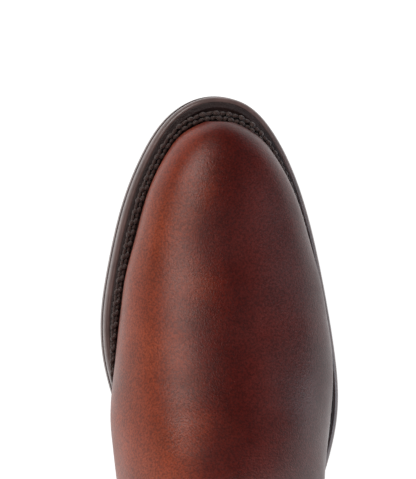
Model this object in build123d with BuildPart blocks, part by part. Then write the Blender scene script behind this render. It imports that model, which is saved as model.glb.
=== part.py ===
"""A tall riding boot for the right foot, on a storm-welted leather sole with a stacked heel.

Frame: the origin is the centre of the heel's ground face, +Z is up, the toe points along -Y
and +X is the boot's inner (zip) side.  A station s is the distance from the back of the heel
towards the toe, so y = HEEL_CENTRE - s.

The upper is cut out of nested bodies.  Each body is lofted through rings that start square
to the foot at the toe, turn about the instep, and end square to the leg at the top.  Body 0
is the face of the leather, and the others lie inside or outside it by a layer's thickness.

The sole is stacked in bands that follow one side profile: heel seat, waist, tread and toe
spring.  A lift is a height above that profile.
"""
from build123d import *
from math import atan2, cos, degrees, hypot, pi, radians, sin
import os

os.makedirs("parts", exist_ok=True)

# --- overall -------------------------------------------------------------------------------
SOLE_LENGTH = 306.0
HEEL_CENTRE = 38.0  # station of the origin
HALF = 120.0  # half reach of every cutting prism
HEEL_HEIGHT = 30.0
HEEL_BREAST = 75.0  # station of the heel's front face
TREAD_START, TREAD_END = 185.0, 214.0
TOE_SPRING = 13.5
TOP_FRONT, TOP_BACK = 408.0, 392.0
TOP_STATIONS = (-7.5, 118.5)
BINDING = 5.0

# --- layers --------------------------------------------------------------------------------
OUTSOLE, MIDSOLE, WELT = 5.5, 4.0, 3.5
SOLE_STACK = OUTSOLE + MIDSOLE + WELT
INSOLE, SOCK = 2.6, 1.2
LEATHER, STIFFENER, LINING = 2.0, 1.6, 1.2
OVERLAY = 1.6
WELT_WIDTH, RIB_WIDTH = 12.0, 4.0
STITCH_WIDTH, STITCH_HEIGHT = 3.8, 2.6
SHANK_WIDTH, SHANK_THICK = 14.0, 1.5
SHANK_STATIONS = (60.0, 170.0)
HEEL_LIFTS = (0.0, 7.0, 14.5, 22.0, 30.0)
HEEL_TAPER = 0.45  # each lift is this much smaller than the one above it
NAIL_RADIUS, NAIL_LOW, NAIL_HIGH = 1.1, 0.4, 12.0
NAILS = ((12, 0), (23, 17), (23, -17), (43, 22), (43, -22), (63, 20), (63, -22))

# --- seams, as stations and heights --------------------------------------------------------
SIDE_SEAM = 56.0
WAIST_SEAM = 84.0
VAMP_EDGE = [(84, 43), (90, 66), (99, 92), (106.5, 112), (112.5, 127), (121, 140)]
FOXING_EDGE = [(84, 43), (76, 62), (56, 84), (30, 99), (-2, 104), (-40, 105)]
PUFF_EDGE = 243.0
COUNTER_TOP = 96.0
GUSSET_LOW, GUSSET_WIDTH = 300.0, 30.0
STRIP_WIDTH, STRIP_LOW = 14.0, 80.0
SEAM_JOINT = 0.15  # gap left between the front and the back leg leather under the side strip
STAY_WIDTH, STAY_LOW, STAY_HIGH = 16.0, 101.0, 384.0
LOOP_WIDTH, LOOP_THICK, LOOP_LOW, LOOP_TOP = 20.0, 1.6, 356.0, 413.0
LOOP_OUTER_Y, LOOP_INNER_Y = 39.6, 34.0

# --- zip, in its own plane: across, up the leg, out of the leather ---------------------------
ZIP_LOW, ZIP_LOW_X, ZIP_LEAN = 118.0, 41.2, 3.25
ZIP_LENGTH = 320.0  # longer than the leg, for the cuts
SLOT_HALF, WINDOW_HALF, WINDOW_DROP = 6.0, 13.5, 11.0
TAPE_IN, TAPE_OUT, TAPE_THICK, TAPE_DEPTH, TAPE_TOP = 3.0, 13.0, 0.8, 4.6, 275.0
TOOTH_PITCH, TOOTH_THICK, TEETH, TOOTH_FIRST = 3.0, 1.4, 88, 4.7
TOOTH_REACH, TOOTH_DEPTH, TOOTH_HIGH = 1.0, 5.2, 2.4
SLIDER_Y, SLIDER_LONG, SLIDER_WIDE, PLATE = 265.0, 14.0, 10.0, 1.2
SLIDER_TOP, SLIDER_UNDER = 2.4, 6.8  # depths of the under sides of the two plates
PULL_Y, PULL_Z, PULL_BAR = 262.0, 1.2, 0.55
PULL_THICK = 1.1

# --- top strap, wrapped round the outer side of the calf ------------------------------------
STRAP_LOW, STRAP_WIDTH, STRAP_THICK = 352.0, 20.0, 1.6
WRAP_RADIUS, WRAP_X, WRAP_Y = 66.0, 8.55, -16.7
BAR_RADIUS, RUNNING = 1.3, 0.05
HEEL_BAR, FRONT_BAR = (-8.0, 3.0), (9.0, 3.9)  # arc towards the toe, height off the calf
FRAME_HALF, RAIL, RAIL_RADIUS = 13.2, 2.4, 1.8
ROLLER_RADIUS, ROLLER_HALF = 2.0, 10.2
PRONG_WIDTH, PRONG_THICK, PRONG_EYE = 2.4, 1.8, 2.5
KEEPER_ARC, KEEPER_WIDE, KEEPER_WALL, KEEPER_HIGH = -32.0, 7.0, 1.4, 4.3
BILLET_HOLES = (22.0, 34.0, -43.0)

# --- outline of the sole: (station, x), toe, inner side, heel, outer side --------------------
OUTLINE = [
    (306.0, 5.7), (302.5, 19.6), (294.0, 29.4), (280.0, 37.4), (258.0, 45.0), (230.0, 50.1),
    (203.0, 52.4), (184.0, 50.0), (165.0, 44.0), (140.0, 36.6), (112.0, 33.0), (80.0, 33.0),
    (46.0, 34.2), (18.0, 28.6), (3.0, 12.6), (0.0, 0.0), (3.0, -12.6), (18.0, -28.6),
    (46.0, -34.6), (80.0, -36.0), (112.0, -40.6), (140.0, -50.0), (168.0, -55.6),
    (198.0, -52.4), (230.0, -45.2), (258.0, -36.6), (280.0, -26.6), (294.0, -17.0),
    (302.5, -7.4),
]
PLAN_POINTS = 72

# --- rings of the upper ----------------------------------------------------------------------
# A ring spans the side view from a lower or back point to an upper or front point, both
# (station, z).  Then come the inner and outer half widths, the share of the span from the
# lower point to the widest place, the fullness of the upper end, of the lower end and of the
# lower end's inner side, and how far the ridge leans to the inner side.
RINGS = [
    ((160, 2), (165, 75.5), 49.5, 48.5, 0.34, 2.05, 2.6, 1.8, 5.0),
    ((138, 4), (147, 86.5), 47.5, 45.5, 0.38, 2.05, 2.4, 1.4, 4.0),
    ((111, 12), (133, 100.5), 44.5, 43.5, 0.42, 2.05, 2.2, 1.5, 2.5),
    ((82, 20), (122, 116), 41.5, 42.0, 0.44, 2.05, 1.85, 1.5, 1.0),
    ((46, 18), (114, 132), 39.5, 40.5, 0.45, 2.05, 1.9, 1.8, 0.0),
    ((13, 24), (109, 148), 39.6, 40.6, 0.46, 2.05, 2.1, 2.1, 0.0),
    ((2.2, 66), (106, 164), 41.2, 41.4, 0.48, 2.1, 2.05, 2.05, 0.0),
    ((5.5, 104), (104.5, 181), 42.6, 42.2, 0.5, 2.1, 2.05, 2.05, 0.0),
    ((8.5, 140), (104, 200), 44.4, 43.8, 0.5, 2.1, 2.05, 2.05, 0.0),
    ((7.5, 174), (104, 220), 46.0, 46.0, 0.5, 2.1, 2.05, 2.05, 0.0),
    ((4, 210), (105, 242), 47.6, 48.8, 0.5, 2.1, 2.05, 2.05, 0.0),
    ((-0.5, 250), (108, 268), 49.4, 52.2, 0.5, 2.1, 2.1, 2.1, 0.0),
    ((-5, 300), (112.5, 306), 51.8, 55.6, 0.5, 2.1, 2.1, 2.1, 0.0),
    ((-7.5, 350), (116, 356), 54.6, 57.4, 0.5, 2.1, 2.1, 2.1, 0.0),
    ((-7.5, 395), (118.5, 411), 57.6, 57.6, 0.5, 2.1, 2.1, 2.1, 0.0),
]
# Toe: share of the toe's length from its tip, half width, height of the ridge.
TOE = [
    (0.003, 4.6, 36.0), (0.017, 9.8, 39.6), (0.04, 15.0, 42.4), (0.072, 19.9, 44.8),
    (0.12, 24.4, 46.8), (0.195, 29.9, 48.8), (0.309, 35.6, 50.6), (0.464, 41.2, 53.6),
    (0.639, 45.8, 58.6), (0.825, 48.6, 66.2),
]
TOE_TIP, TOE_ROOT = 295.2, 165.0
TOE_CENTRE_X = 6.2  # how far the toe turns in
TOE_MIDDLE_X = -1.2  # the outer joint is fuller than the inner one
RING_POINTS = 24
SPANS = (0, 2, 14, 25, 39)  # rings at which one loft ends and the next begins


def station(s):
    """The y of a station."""
    return HEEL_CENTRE - s


def top_z(s):
    """Height of the slanted top line at a station."""
    back, front = TOP_STATIONS
    return TOP_BACK + (s - back) / (front - back) * (TOP_FRONT - TOP_BACK)


def side(points):
    """Side-view points as y and z."""
    return [(station(s), z) for s, z in points]


# --- sole shapes -----------------------------------------------------------------------------
def plan(inset):
    """Face of the sole's outline, brought in by inset."""
    with BuildLine():
        outline = Spline(*[(x, station(s)) for s, x in OUTLINE], periodic=True)
    steps = [k / PLAN_POINTS for k in range(PLAN_POINTS)]
    inward = [(outline % step).rotate(Axis.Z, 90) for step in steps]
    with BuildSketch() as face:
        with BuildLine():
            places = [outline @ step + inset * way for step, way in zip(steps, inward)]
            Spline(*places, periodic=True)
        make_face()
    return face.sketch


def profile(lift):
    """Side profile of the sole's lower face, raised by lift: heel seat, waist, tread, toe."""
    waist_end, toe = station(TREAD_START), station(SOLE_LENGTH + 6)
    level = lift + HEEL_HEIGHT
    seat = Line((station(-30), level), (station(HEEL_BREAST), level))
    waist = Spline(
        (station(HEEL_BREAST), level),
        (station(122), lift + 12.4),
        (waist_end, lift),
        tangents=((-1, 0), (-1, 0)),
    )
    tread = Line((waist_end, lift), (station(TREAD_END), lift))
    spring = Spline(
        (station(TREAD_END), lift),
        (station(262), lift + 4.2),
        (toe, lift + TOE_SPRING + 1.6),
        tangents=((-1, 0), (-1, 0.28)),
    )
    return [seat, waist, tread, spring]


def sole_band(low, high):
    """Prism across the boot between two lifts of the sole's profile."""
    with BuildPart() as band:
        with BuildSketch(Plane.YZ):
            with BuildLine():
                bottom = profile(low)
                top = profile(high)
                Line(bottom[0] @ 0, top[0] @ 0)
                Line(bottom[-1] @ 1, top[-1] @ 1)
            make_face()
        extrude(amount=HALF, both=True)
    return band.part


def upper_space(drop):
    """Prism over the sole and under the top line, which is lowered by drop."""
    ends = (SOLE_LENGTH + 6, -30)
    with BuildPart() as space:
        with BuildSketch(Plane.YZ):
            with BuildLine():
                sole = profile(SOLE_STACK)
                corners = side([(s, top_z(s) - drop) for s in ends])
                Polyline(sole[-1] @ 1, *corners, sole[0] @ 0)
            make_face()
        extrude(amount=HALF, both=True)
    return space.part


def side_region(edge, corners):
    """Prism across the boot over a side-view region with one smooth edge."""
    with BuildPart() as prism:
        with BuildSketch(Plane.YZ):
            with BuildLine():
                smooth = Spline(*side(edge))
                Polyline(smooth @ 1, *side(corners), smooth @ 0)
            make_face()
        extrude(amount=HALF, both=True)
    return prism.part


def side_block(points, low_x=-HALF, high_x=HALF):
    """Prism across the boot over a side-view polygon."""
    with BuildPart() as prism:
        with BuildSketch(Plane.YZ.offset(low_x)):
            with BuildLine():
                Polyline(*side(points), close=True)
            make_face()
        extrude(amount=high_x - low_x)
    return prism.part


# --- upper shapes ----------------------------------------------------------------------------
def toe_rows(grow):
    """Rows of the toe's upright rings: lower point, upper point, then the ring's numbers."""
    rows = []
    for share, half, ridge in TOE:
        s = TOE_TIP + grow - share * (TOE_TIP - TOE_ROOT + grow)
        spring = TOE_SPRING * max(0.0, (s - TREAD_END) / (SOLE_LENGTH - TREAD_END)) ** 2
        low = spring + SOLE_STACK - 12.0 * min(1.0, half / 20)
        shift = TOE_CENTRE_X * (1 - share) ** 1.6 + TOE_MIDDLE_X * share
        width = half if half > 12 else half * (1 + grow / 40)
        widest = 0.5 if half < 12 else 0.56 - 0.2 * share
        upper_full = 2.1 if share > 0.1 else 2.0
        wall = grow * min(1.0, half / 16)
        rows.append(
            [s, low, s, ridge, width, width, widest, upper_full, 2.4, 2.4, 4.6 * share, wall, shift]
        )
    return rows


def slopes(values, marks):
    """Slope of a column at each mark, weighted towards the nearer neighbour."""
    steps = [b - a for a, b in zip(marks, marks[1:])]
    rates = [(b - a) / step for a, b, step in zip(values, values[1:], steps)]
    inner = [
        (rates[i] * steps[i + 1] + rates[i + 1] * steps[i]) / (steps[i] + steps[i + 1])
        for i in range(len(rates) - 1)
    ]
    return [rates[0]] + inner + [rates[-1]]


def with_middles(rows, first):
    """The rows, with a smooth row halfway between every two from the first-th on."""
    middles = [((row[0] + row[2]) / 2, (row[1] + row[3]) / 2) for row in rows]
    marks = [0.0]
    for a, b in zip(middles, middles[1:]):
        marks.append(marks[-1] + hypot(a[0] - b[0], a[1] - b[1]))
    columns = [slopes(values, marks) for values in zip(*rows)]
    fine = rows[:first]
    for i in range(first, len(rows) - 1):
        eighth = (marks[i + 1] - marks[i]) / 8
        halfway = [
            (low + high) / 2 + eighth * (slope[i] - slope[i + 1])
            for low, high, slope in zip(rows[i], rows[i + 1], columns)
        ]
        fine += [rows[i], halfway]
    return fine + [rows[-1]]


def ring(low_s, low_z, high_s, high_z, inner, outer, widest, full_high, full_low, full_tuck,
         lean, grow, shift):
    """Face of one ring, in the plane through its lower and upper points."""
    span = hypot(low_s - high_s, high_z - low_z)
    angle = atan2(high_z - low_z, low_s - high_s)
    plane = Plane((0, station(low_s), low_z), (1, 0, 0), (0, -sin(angle), cos(angle)))
    points = []
    for k in range(RING_POINTS):
        c, t = cos(2 * pi * k / RING_POINTS), sin(2 * pi * k / RING_POINTS)
        width = (inner if c > 0 else outer) + grow
        height = (span * (1 - widest) if t > 0 else span * widest) + grow
        full = full_high if t > 0 else (full_tuck if c > 0 else full_low)
        x = width * abs(c) ** (2 / full) * (1 if c > 0 else -1)
        h = height * abs(t) ** (2 / full) * (1 if t > 0 else -1)
        points.append((x + shift + lean * max(h / height, 0) ** 2, span * widest + h))
    with BuildSketch(plane) as face:
        with BuildLine():
            even = [k / RING_POINTS for k in range(RING_POINTS + 1)]
            add(Edge.make_spline([Vector(*p) for p in points], periodic=True, parameters=even))
        make_face()
    return face.sketch


def nested_body(grow):
    """The whole boot's inside out to one layer; grow is 0 at the face of the leather."""
    toe = toe_rows(grow)
    leg = [[*low, *high, *numbers, grow, 0.0] for low, high, *numbers in RINGS]
    faces = [ring(*row) for row in with_middles(toe + leg, len(toe) - 1)]
    with BuildPart() as body:
        for first, last in zip(SPANS, SPANS[1:]):
            loft(faces[first : last + 1])
    return body.part


def shell(outer, inner, *spaces, without=()):
    """What lies between two nested bodies, inside every space and outside the others."""
    with BuildPart() as wall:
        add(outer)
        for space in spaces:
            add(space, mode=Mode.INTERSECT)
        add(inner, mode=Mode.SUBTRACT)
        for other in without:
            add(other, mode=Mode.SUBTRACT)
    return wall.part


# --- nested bodies and cutting spaces --------------------------------------------------------
face_body = nested_body(0.0)
flesh_body = nested_body(-LEATHER)
stiff_body = nested_body(-LEATHER - STIFFENER)
foot_body = nested_body(-LEATHER - STIFFENER - LINING)
overlay_body = nested_body(OVERLAY)
stitch_body = nested_body(STITCH_WIDTH)

panels_space = upper_space(BINDING)
front_half = side_block([(SIDE_SEAM, -10), (SIDE_SEAM, 450), (330, 450), (330, -10)])
behind_joint = SIDE_SEAM - SEAM_JOINT
ahead_of_joint = side_block([(behind_joint, -10), (behind_joint, 450), (330, 450), (330, -10)])
vamp_region = side_region(VAMP_EDGE, [(330, 150), (330, -10), (WAIST_SEAM, -10)])
foxing_region = side_region(FOXING_EDGE, [(-40, -10), (WAIST_SEAM, -10)])
puff_region = side_block([(PUFF_EDGE, -10), (PUFF_EDGE + 4, 90), (330, 90), (330, -10)])
counter_region = side_region(
    [(78, 43), (70, 66), (50, 84), (26, COUNTER_TOP), (-40, COUNTER_TOP)], [(-40, -10), (78, -10)]
)
half_gusset = GUSSET_WIDTH / 2
gusset_region = side_block(
    [(SIDE_SEAM, GUSSET_LOW), (SIDE_SEAM + half_gusset, 420), (SIDE_SEAM - half_gusset, 420)],
    high_x=0,
)

zip_plane = Plane(
    (ZIP_LOW_X, station(SIDE_SEAM), ZIP_LOW),
    (0, 1, 0),
    (cos(radians(ZIP_LEAN)), 0, -sin(radians(ZIP_LEAN))),
)


def zip_cut(half_width, low):
    """Space of the zip's slot, up from low in the zip's plane, with a round lower end."""
    with BuildPart() as cut:
        with BuildSketch(zip_plane.offset(-14)):
            with Locations((0, low)):
                Rectangle(2 * half_width, ZIP_LENGTH, align=(Align.CENTER, Align.MIN))
            corners = [v for v in vertices() if v.Y < low + ZIP_LENGTH / 2]
            fillet(corners, half_width - 0.5)
        extrude(amount=24)
    return cut.part


def zip_box(low_x, high_x, low_y, high_y, low_z, high_z):
    """Block in the zip's plane: across, along and out of the leather."""
    with BuildPart() as block:
        with BuildSketch(zip_plane.offset(low_z)):
            with Locations(((low_x + high_x) / 2, (low_y + high_y) / 2)):
                Rectangle(high_x - low_x, high_y - low_y)
        extrude(amount=high_z - low_z)
    return block.part


slot = zip_cut(SLOT_HALF, 0)
window = zip_cut(WINDOW_HALF, -WINDOW_DROP)

# --- sole ------------------------------------------------------------------------------------
behind_breast = side_block([(-30, -10), (-30, 60), (HEEL_BREAST, 60), (HEEL_BREAST, -10)])


def sole_layer(low, high, outer_inset, inner_inset=None):
    """Slab or ring of the sole between two lifts and two insets."""
    with BuildPart() as layer:
        add(plan(outer_inset))
        extrude(amount=60)
        if inner_inset is not None:
            add(plan(inner_inset))
            extrude(amount=60, mode=Mode.SUBTRACT)
        add(sole_band(low, high), mode=Mode.INTERSECT)
    return layer.part


welt_low = OUTSOLE + MIDSOLE
cork_inset = WELT_WIDTH + RIB_WIDTH

with BuildPart() as outsole:
    add(sole_layer(0, OUTSOLE, 0))

with BuildPart() as midsole:
    add(sole_layer(OUTSOLE, welt_low, 0.5))

with BuildPart() as storm_welt:
    add(sole_layer(welt_low, SOLE_STACK, 1.0, WELT_WIDTH))
    add(behind_breast, mode=Mode.SUBTRACT)

with BuildPart() as heel_rand:
    add(sole_layer(welt_low, SOLE_STACK, 1.0, WELT_WIDTH))
    add(behind_breast, mode=Mode.INTERSECT)

with BuildPart() as gemming_rib:
    add(sole_layer(welt_low, SOLE_STACK, WELT_WIDTH, cork_inset))

with BuildPart() as steel_shank:
    add(sole_band(welt_low + 0.8, welt_low + 0.8 + SHANK_THICK))
    with BuildSketch() as shank_plan:
        with Locations((-2, station(sum(SHANK_STATIONS) / 2))):
            SlotOverall(SHANK_STATIONS[1] - SHANK_STATIONS[0], SHANK_WIDTH, rotation=90)
    extrude(amount=60, mode=Mode.INTERSECT)

with BuildPart() as cork_filler:
    add(sole_layer(welt_low, SOLE_STACK, cork_inset))
    add(steel_shank.part, mode=Mode.SUBTRACT)

with BuildPart() as insole:
    add(foot_body)
    add(sole_band(SOLE_STACK, SOLE_STACK + INSOLE), mode=Mode.INTERSECT)

with BuildPart() as sock_liner:
    add(foot_body)
    add(sole_band(SOLE_STACK + INSOLE, SOLE_STACK + INSOLE + SOCK), mode=Mode.INTERSECT)

with BuildPart() as braided_stitch:
    add(shell(stitch_body, face_body, sole_band(SOLE_STACK, SOLE_STACK + STITCH_HEIGHT)))
    add(behind_breast, mode=Mode.SUBTRACT)
    with BuildSketch():
        add(plan(1.2))
    extrude(amount=60, mode=Mode.INTERSECT)

# --- heel ------------------------------------------------------------------------------------
with BuildPart() as heel_nails:
    with BuildSketch(Plane.XY.offset(NAIL_LOW)):
        with Locations(*[(x, station(s)) for s, x in NAILS]):
            Circle(NAIL_RADIUS)
    extrude(amount=NAIL_HIGH - NAIL_LOW)


def heel_part(index):
    """One of the heel's four pieces, counted from the ground, with its nail holes."""
    low, high = HEEL_LIFTS[index], HEEL_LIFTS[index + 1]
    with BuildPart() as piece:
        with BuildSketch(Plane.XY.offset(low)):
            add(plan(HEEL_TAPER * (len(HEEL_LIFTS) - 1 - index)))
        extrude(amount=high - low)
        add(behind_breast, mode=Mode.INTERSECT)
        if low < NAIL_HIGH:
            with BuildSketch():
                with Locations(*[(x, station(s)) for s, x in NAILS]):
                    Circle(NAIL_RADIUS)
            extrude(amount=NAIL_HIGH, mode=Mode.SUBTRACT)
    return piece.part


with BuildPart() as heel_top_piece:
    add(heel_part(0))

with BuildPart() as heel_lift_1:
    add(heel_part(1))

with BuildPart() as heel_lift_2:
    add(heel_part(2))

with BuildPart() as heel_lift_3:
    add(heel_part(3))

# --- upper: outer leather --------------------------------------------------------------------
with BuildPart() as vamp:
    add(shell(face_body, flesh_body, panels_space, vamp_region))

with BuildPart() as counter_foxing:
    add(shell(face_body, flesh_body, panels_space, foxing_region))

leg_cuts = (vamp_region, foxing_region, gusset_region, slot)

with BuildPart() as leg_front:
    add(shell(face_body, flesh_body, panels_space, front_half, without=leg_cuts))

with BuildPart() as leg_back:
    add(shell(face_body, flesh_body, panels_space, without=(*leg_cuts, ahead_of_joint)))

with BuildPart() as elastic_gusset:
    add(shell(face_body, flesh_body, panels_space, gusset_region))

with BuildPart() as top_binding:
    add(shell(face_body, foot_body, upper_space(0), without=(panels_space, slot)))

strip_block = side_block(
    [(SIDE_SEAM - STRIP_WIDTH / 2, STRIP_LOW), (SIDE_SEAM - STRIP_WIDTH / 2, GUSSET_LOW),
     (SIDE_SEAM + STRIP_WIDTH / 2, GUSSET_LOW), (SIDE_SEAM + STRIP_WIDTH / 2, STRIP_LOW)],
    high_x=0,
)
with BuildPart() as side_strip:
    add(shell(overlay_body, face_body, strip_block))

stay_block = side_block(
    [(-30, STAY_LOW), (-30, STAY_HIGH), (30, STAY_HIGH), (30, STAY_LOW)],
    -STAY_WIDTH / 2, STAY_WIDTH / 2,
)
with BuildPart() as back_stay:
    add(shell(overlay_body, face_body, stay_block))

# --- upper: stiffeners and lining ------------------------------------------------------------
with BuildPart() as toe_puff:
    add(shell(flesh_body, stiff_body, panels_space, puff_region))

with BuildPart() as vamp_interlining:
    add(shell(flesh_body, stiff_body, panels_space, vamp_region, without=(puff_region,)))

with BuildPart() as heel_counter:
    add(shell(flesh_body, stiff_body, panels_space, counter_region))

with BuildPart() as shaft_interlining:
    middle_cuts = (vamp_region, counter_region, window)
    add(shell(flesh_body, stiff_body, panels_space, without=middle_cuts))

with BuildPart() as vamp_lining:
    add(shell(stiff_body, foot_body, panels_space, vamp_region))

with BuildPart() as leg_lining:
    add(shell(stiff_body, foot_body, panels_space, without=(vamp_region, window)))

with BuildPart() as back_pull_loop:
    with BuildSketch(Plane.YZ):
        middle = (LOOP_OUTER_Y + LOOP_INNER_Y) / 2
        with BuildLine():
            bend = (LOOP_OUTER_Y - LOOP_INNER_Y) / 2
            Line((LOOP_OUTER_Y, LOOP_LOW), (LOOP_OUTER_Y, LOOP_TOP - bend))
            ThreePointArc(
                (LOOP_OUTER_Y, LOOP_TOP - bend), (middle, LOOP_TOP), (LOOP_INNER_Y, LOOP_TOP - bend)
            )
            Line((LOOP_INNER_Y, LOOP_TOP - bend), (LOOP_INNER_Y, LOOP_LOW))
            offset(amount=LOOP_THICK, side=Side.LEFT)
        make_face()
    extrude(amount=LOOP_WIDTH / 2, both=True)


# --- zip -------------------------------------------------------------------------------------
tape_high = TAPE_THICK - TAPE_DEPTH


def zip_tape(side_sign):
    """One tape, trimmed where the leather curves in."""
    edges = sorted((side_sign * TAPE_IN, side_sign * TAPE_OUT))
    with BuildPart() as tape:
        add(zip_box(*edges, 1.0, TAPE_TOP, -TAPE_DEPTH, tape_high))
        add(flesh_body, mode=Mode.INTERSECT)
    return tape.part


def zip_teeth(side_sign, first):
    """One row of teeth, whose tips cross the middle between the other row's teeth."""
    with BuildPart() as row:
        with BuildSketch(zip_plane.offset(-TOOTH_DEPTH)):
            middle = side_sign * (TAPE_IN - TOOTH_REACH) / 2
            with Locations((middle, first + TOOTH_PITCH * (TEETH - 1) / 2)):
                with GridLocations(1, TOOTH_PITCH, 1, TEETH):
                    Rectangle(TAPE_IN + TOOTH_REACH, TOOTH_THICK)
        extrude(amount=TOOTH_HIGH)
    return row.part


with BuildPart() as zip_tape_front:
    add(zip_tape(-1))

with BuildPart() as zip_tape_back:
    add(zip_tape(1))

with BuildPart() as zip_teeth_front:
    add(zip_teeth(-1, TOOTH_FIRST))

with BuildPart() as zip_teeth_back:
    add(zip_teeth(1, TOOTH_FIRST + TOOTH_PITCH / 2))

with BuildPart() as zip_bottom_stop:
    add(zip_box(-TAPE_IN, TAPE_IN, 1.0, 3.6, -TOOTH_DEPTH, TOOTH_HIGH - TOOTH_DEPTH))

with BuildPart() as zip_top_stops:
    for sign in (-1, 1):
        edges = sorted((sign * 0.8, sign * TAPE_IN))
        add(zip_box(*edges, TAPE_TOP - 2.4, TAPE_TOP, -TOOTH_DEPTH, TOOTH_HIGH - TOOTH_DEPTH))

with BuildPart() as bail:
    add(zip_box(-0.8, 0.8, 259.8, 268.2, PLATE - SLIDER_TOP, 3.0))
    add(zip_box(-0.8, 0.8, 261.0, 267.0, PLATE - SLIDER_TOP, 2.1), mode=Mode.SUBTRACT)

slider_low = SLIDER_Y - SLIDER_LONG / 2
slider_high = SLIDER_Y + SLIDER_LONG / 2
with BuildPart() as zip_slider:
    for depth, flange_low, flange_high in (
        (SLIDER_TOP, -SLIDER_TOP - 1.0, -SLIDER_TOP),
        (SLIDER_UNDER, PLATE - SLIDER_UNDER, PLATE - SLIDER_UNDER + 0.6),
    ):
        with BuildSketch(zip_plane.offset(-depth)):
            with Locations((0, SLIDER_Y)):
                RectangleRounded(SLIDER_WIDE, SLIDER_LONG, 2.4)
        extrude(amount=PLATE)
        for sign in (-1, 1):
            edges = sorted((sign * (SLIDER_WIDE / 2 - 0.8), sign * SLIDER_WIDE / 2))
            add(zip_box(*edges, slider_low + 2.4, slider_high - 2.4, flange_low, flange_high))
    add(zip_box(-1, 1, slider_high - 3.4, slider_high - 0.6, PLATE - SLIDER_UNDER, -SLIDER_TOP))
    add(bail.part)

with BuildPart() as zip_puller:
    with BuildSketch(zip_plane.offset(PULL_Z - PULL_THICK / 2)):
        with Locations((0, 246)):
            RectangleRounded(7.0, 20.0, 2.2)
        with Locations((-2.0, 258), (2.0, 258)):
            Rectangle(1.6, 9.0)
        with Locations((0, 240.5)):
            Circle(1.5, mode=Mode.SUBTRACT)
    extrude(amount=PULL_THICK)
    with BuildSketch(Plane(zip_plane.from_local_coords((0, PULL_Y, PULL_Z)), (0, 0, 1), (0, 1, 0))):
        Circle(PULL_BAR)
    extrude(amount=2.8, both=True)

# --- top strap -------------------------------------------------------------------------------
def wrap(arc, height):
    """Horizontal place at an arc round the calf towards the toe and a height off it."""
    turn = arc / WRAP_RADIUS
    reach = WRAP_RADIUS + height
    return WRAP_X - reach * cos(turn), WRAP_Y - reach * sin(turn)


def strip_face(path, thick=STRAP_THICK):
    """Face of a strip of one thickness along a path of (arc, middle height)."""
    half = thick / 2
    with BuildLine() as edge:
        inner = Spline(*[wrap(arc, height - half) for arc, height in path])
        outer = Spline(*[wrap(arc, height + half) for arc, height in path])
        Line(inner @ 0, outer @ 0)
        Line(inner @ 1, outer @ 1)
    with BuildSketch() as face:
        add(edge.line)
        make_face()
    return face.sketch


def strap_cut(low_arc, high_arc, half_width):
    """Space for the prong, across the strap between two arcs."""
    with BuildPart() as cut:
        with BuildSketch(Plane.XY.offset(STRAP_LOW + STRAP_WIDTH / 2 - half_width)):
            with BuildLine():
                corners = ((low_arc, -1), (high_arc, -1), (high_arc, 12), (low_arc, 12))
                Polyline(*[wrap(*corner) for corner in corners], close=True)
            make_face()
        extrude(amount=2 * half_width)
    return cut.part


def across_plane(arc, height):
    """Plane that looks straight out of the calf at an arc, halfway up the strap."""
    turn = arc / WRAP_RADIUS
    return Plane(
        (*wrap(arc, height), STRAP_LOW + STRAP_WIDTH / 2),
        (sin(turn), -cos(turn), 0),
        (-cos(turn), -sin(turn), 0),
    )


BILLET_PATH = [
    (50, 0.85), (40, 0.85), (30, 0.85), (20, 0.85), (13, 0.85), (9, 0.95), (4, 2.6), (-2, 5.2),
    (-8, 6.95), (-14, 6.0), (-20, 4.5), (-26, 3.4), (-32, 3.0), (-40, 2.8), (-50, 2.7),
]
with BuildPart() as strap_billet:
    with BuildSketch(Plane.XY.offset(STRAP_LOW)):
        add(strip_face(BILLET_PATH))
    extrude(amount=STRAP_WIDTH)
    add(face_body, mode=Mode.SUBTRACT)
    add(strap_cut(-8.5, 1.5, 1.6), mode=Mode.SUBTRACT)
    for arc in BILLET_HOLES:
        with BuildSketch(across_plane(arc, -2)):
            Circle(1.5)
        extrude(amount=10, mode=Mode.SUBTRACT)

loop_radius = BAR_RADIUS + RUNNING
bar_x, bar_y = wrap(*HEEL_BAR)
with BuildPart() as strap_chape:
    with BuildSketch(Plane.XY.offset(STRAP_LOW)):
        add(strip_face([(-58, 0.8), (-45, 0.8), (-32, 0.8), (-20, 0.8), (-8, 0.85)]))
        add(strip_face([(-19, 2.4), (-16, 2.6), (-12, 3.7), (-8, 5.1)]))
        with Locations((bar_x, bar_y)):
            Circle(loop_radius + STRAP_THICK)
        with Locations((bar_x, bar_y)):
            Circle(loop_radius, mode=Mode.SUBTRACT)
    extrude(amount=STRAP_WIDTH)
    add(face_body, mode=Mode.SUBTRACT)
    add(strap_cut(-13, -4, 1.6), mode=Mode.SUBTRACT)

with BuildPart() as strap_keeper:
    with BuildSketch(across_plane(KEEPER_ARC, 0)):
        Rectangle(KEEPER_WIDE, STRAP_WIDTH + 0.6 + 2 * KEEPER_WALL)
    extrude(amount=KEEPER_HIGH + KEEPER_WALL)
    with BuildSketch(across_plane(KEEPER_ARC, -2)):
        Rectangle(KEEPER_WIDE + 2, STRAP_WIDTH + 0.6)
    extrude(amount=KEEPER_HIGH + 2, mode=Mode.SUBTRACT)
    add(face_body, mode=Mode.SUBTRACT)

with BuildPart() as strap_rivets:
    for arc, height in ((44, STRAP_THICK), (-53, STRAP_THICK)):
        for lift in (-5, 5):
            with BuildSketch(across_plane(arc, height + 0.1)):
                with Locations((0, lift)):
                    Circle(2.6)
            extrude(amount=1.2, taper=25)

front_x, front_y = wrap(*FRONT_BAR)
middle_z = STRAP_LOW + STRAP_WIDTH / 2


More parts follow.
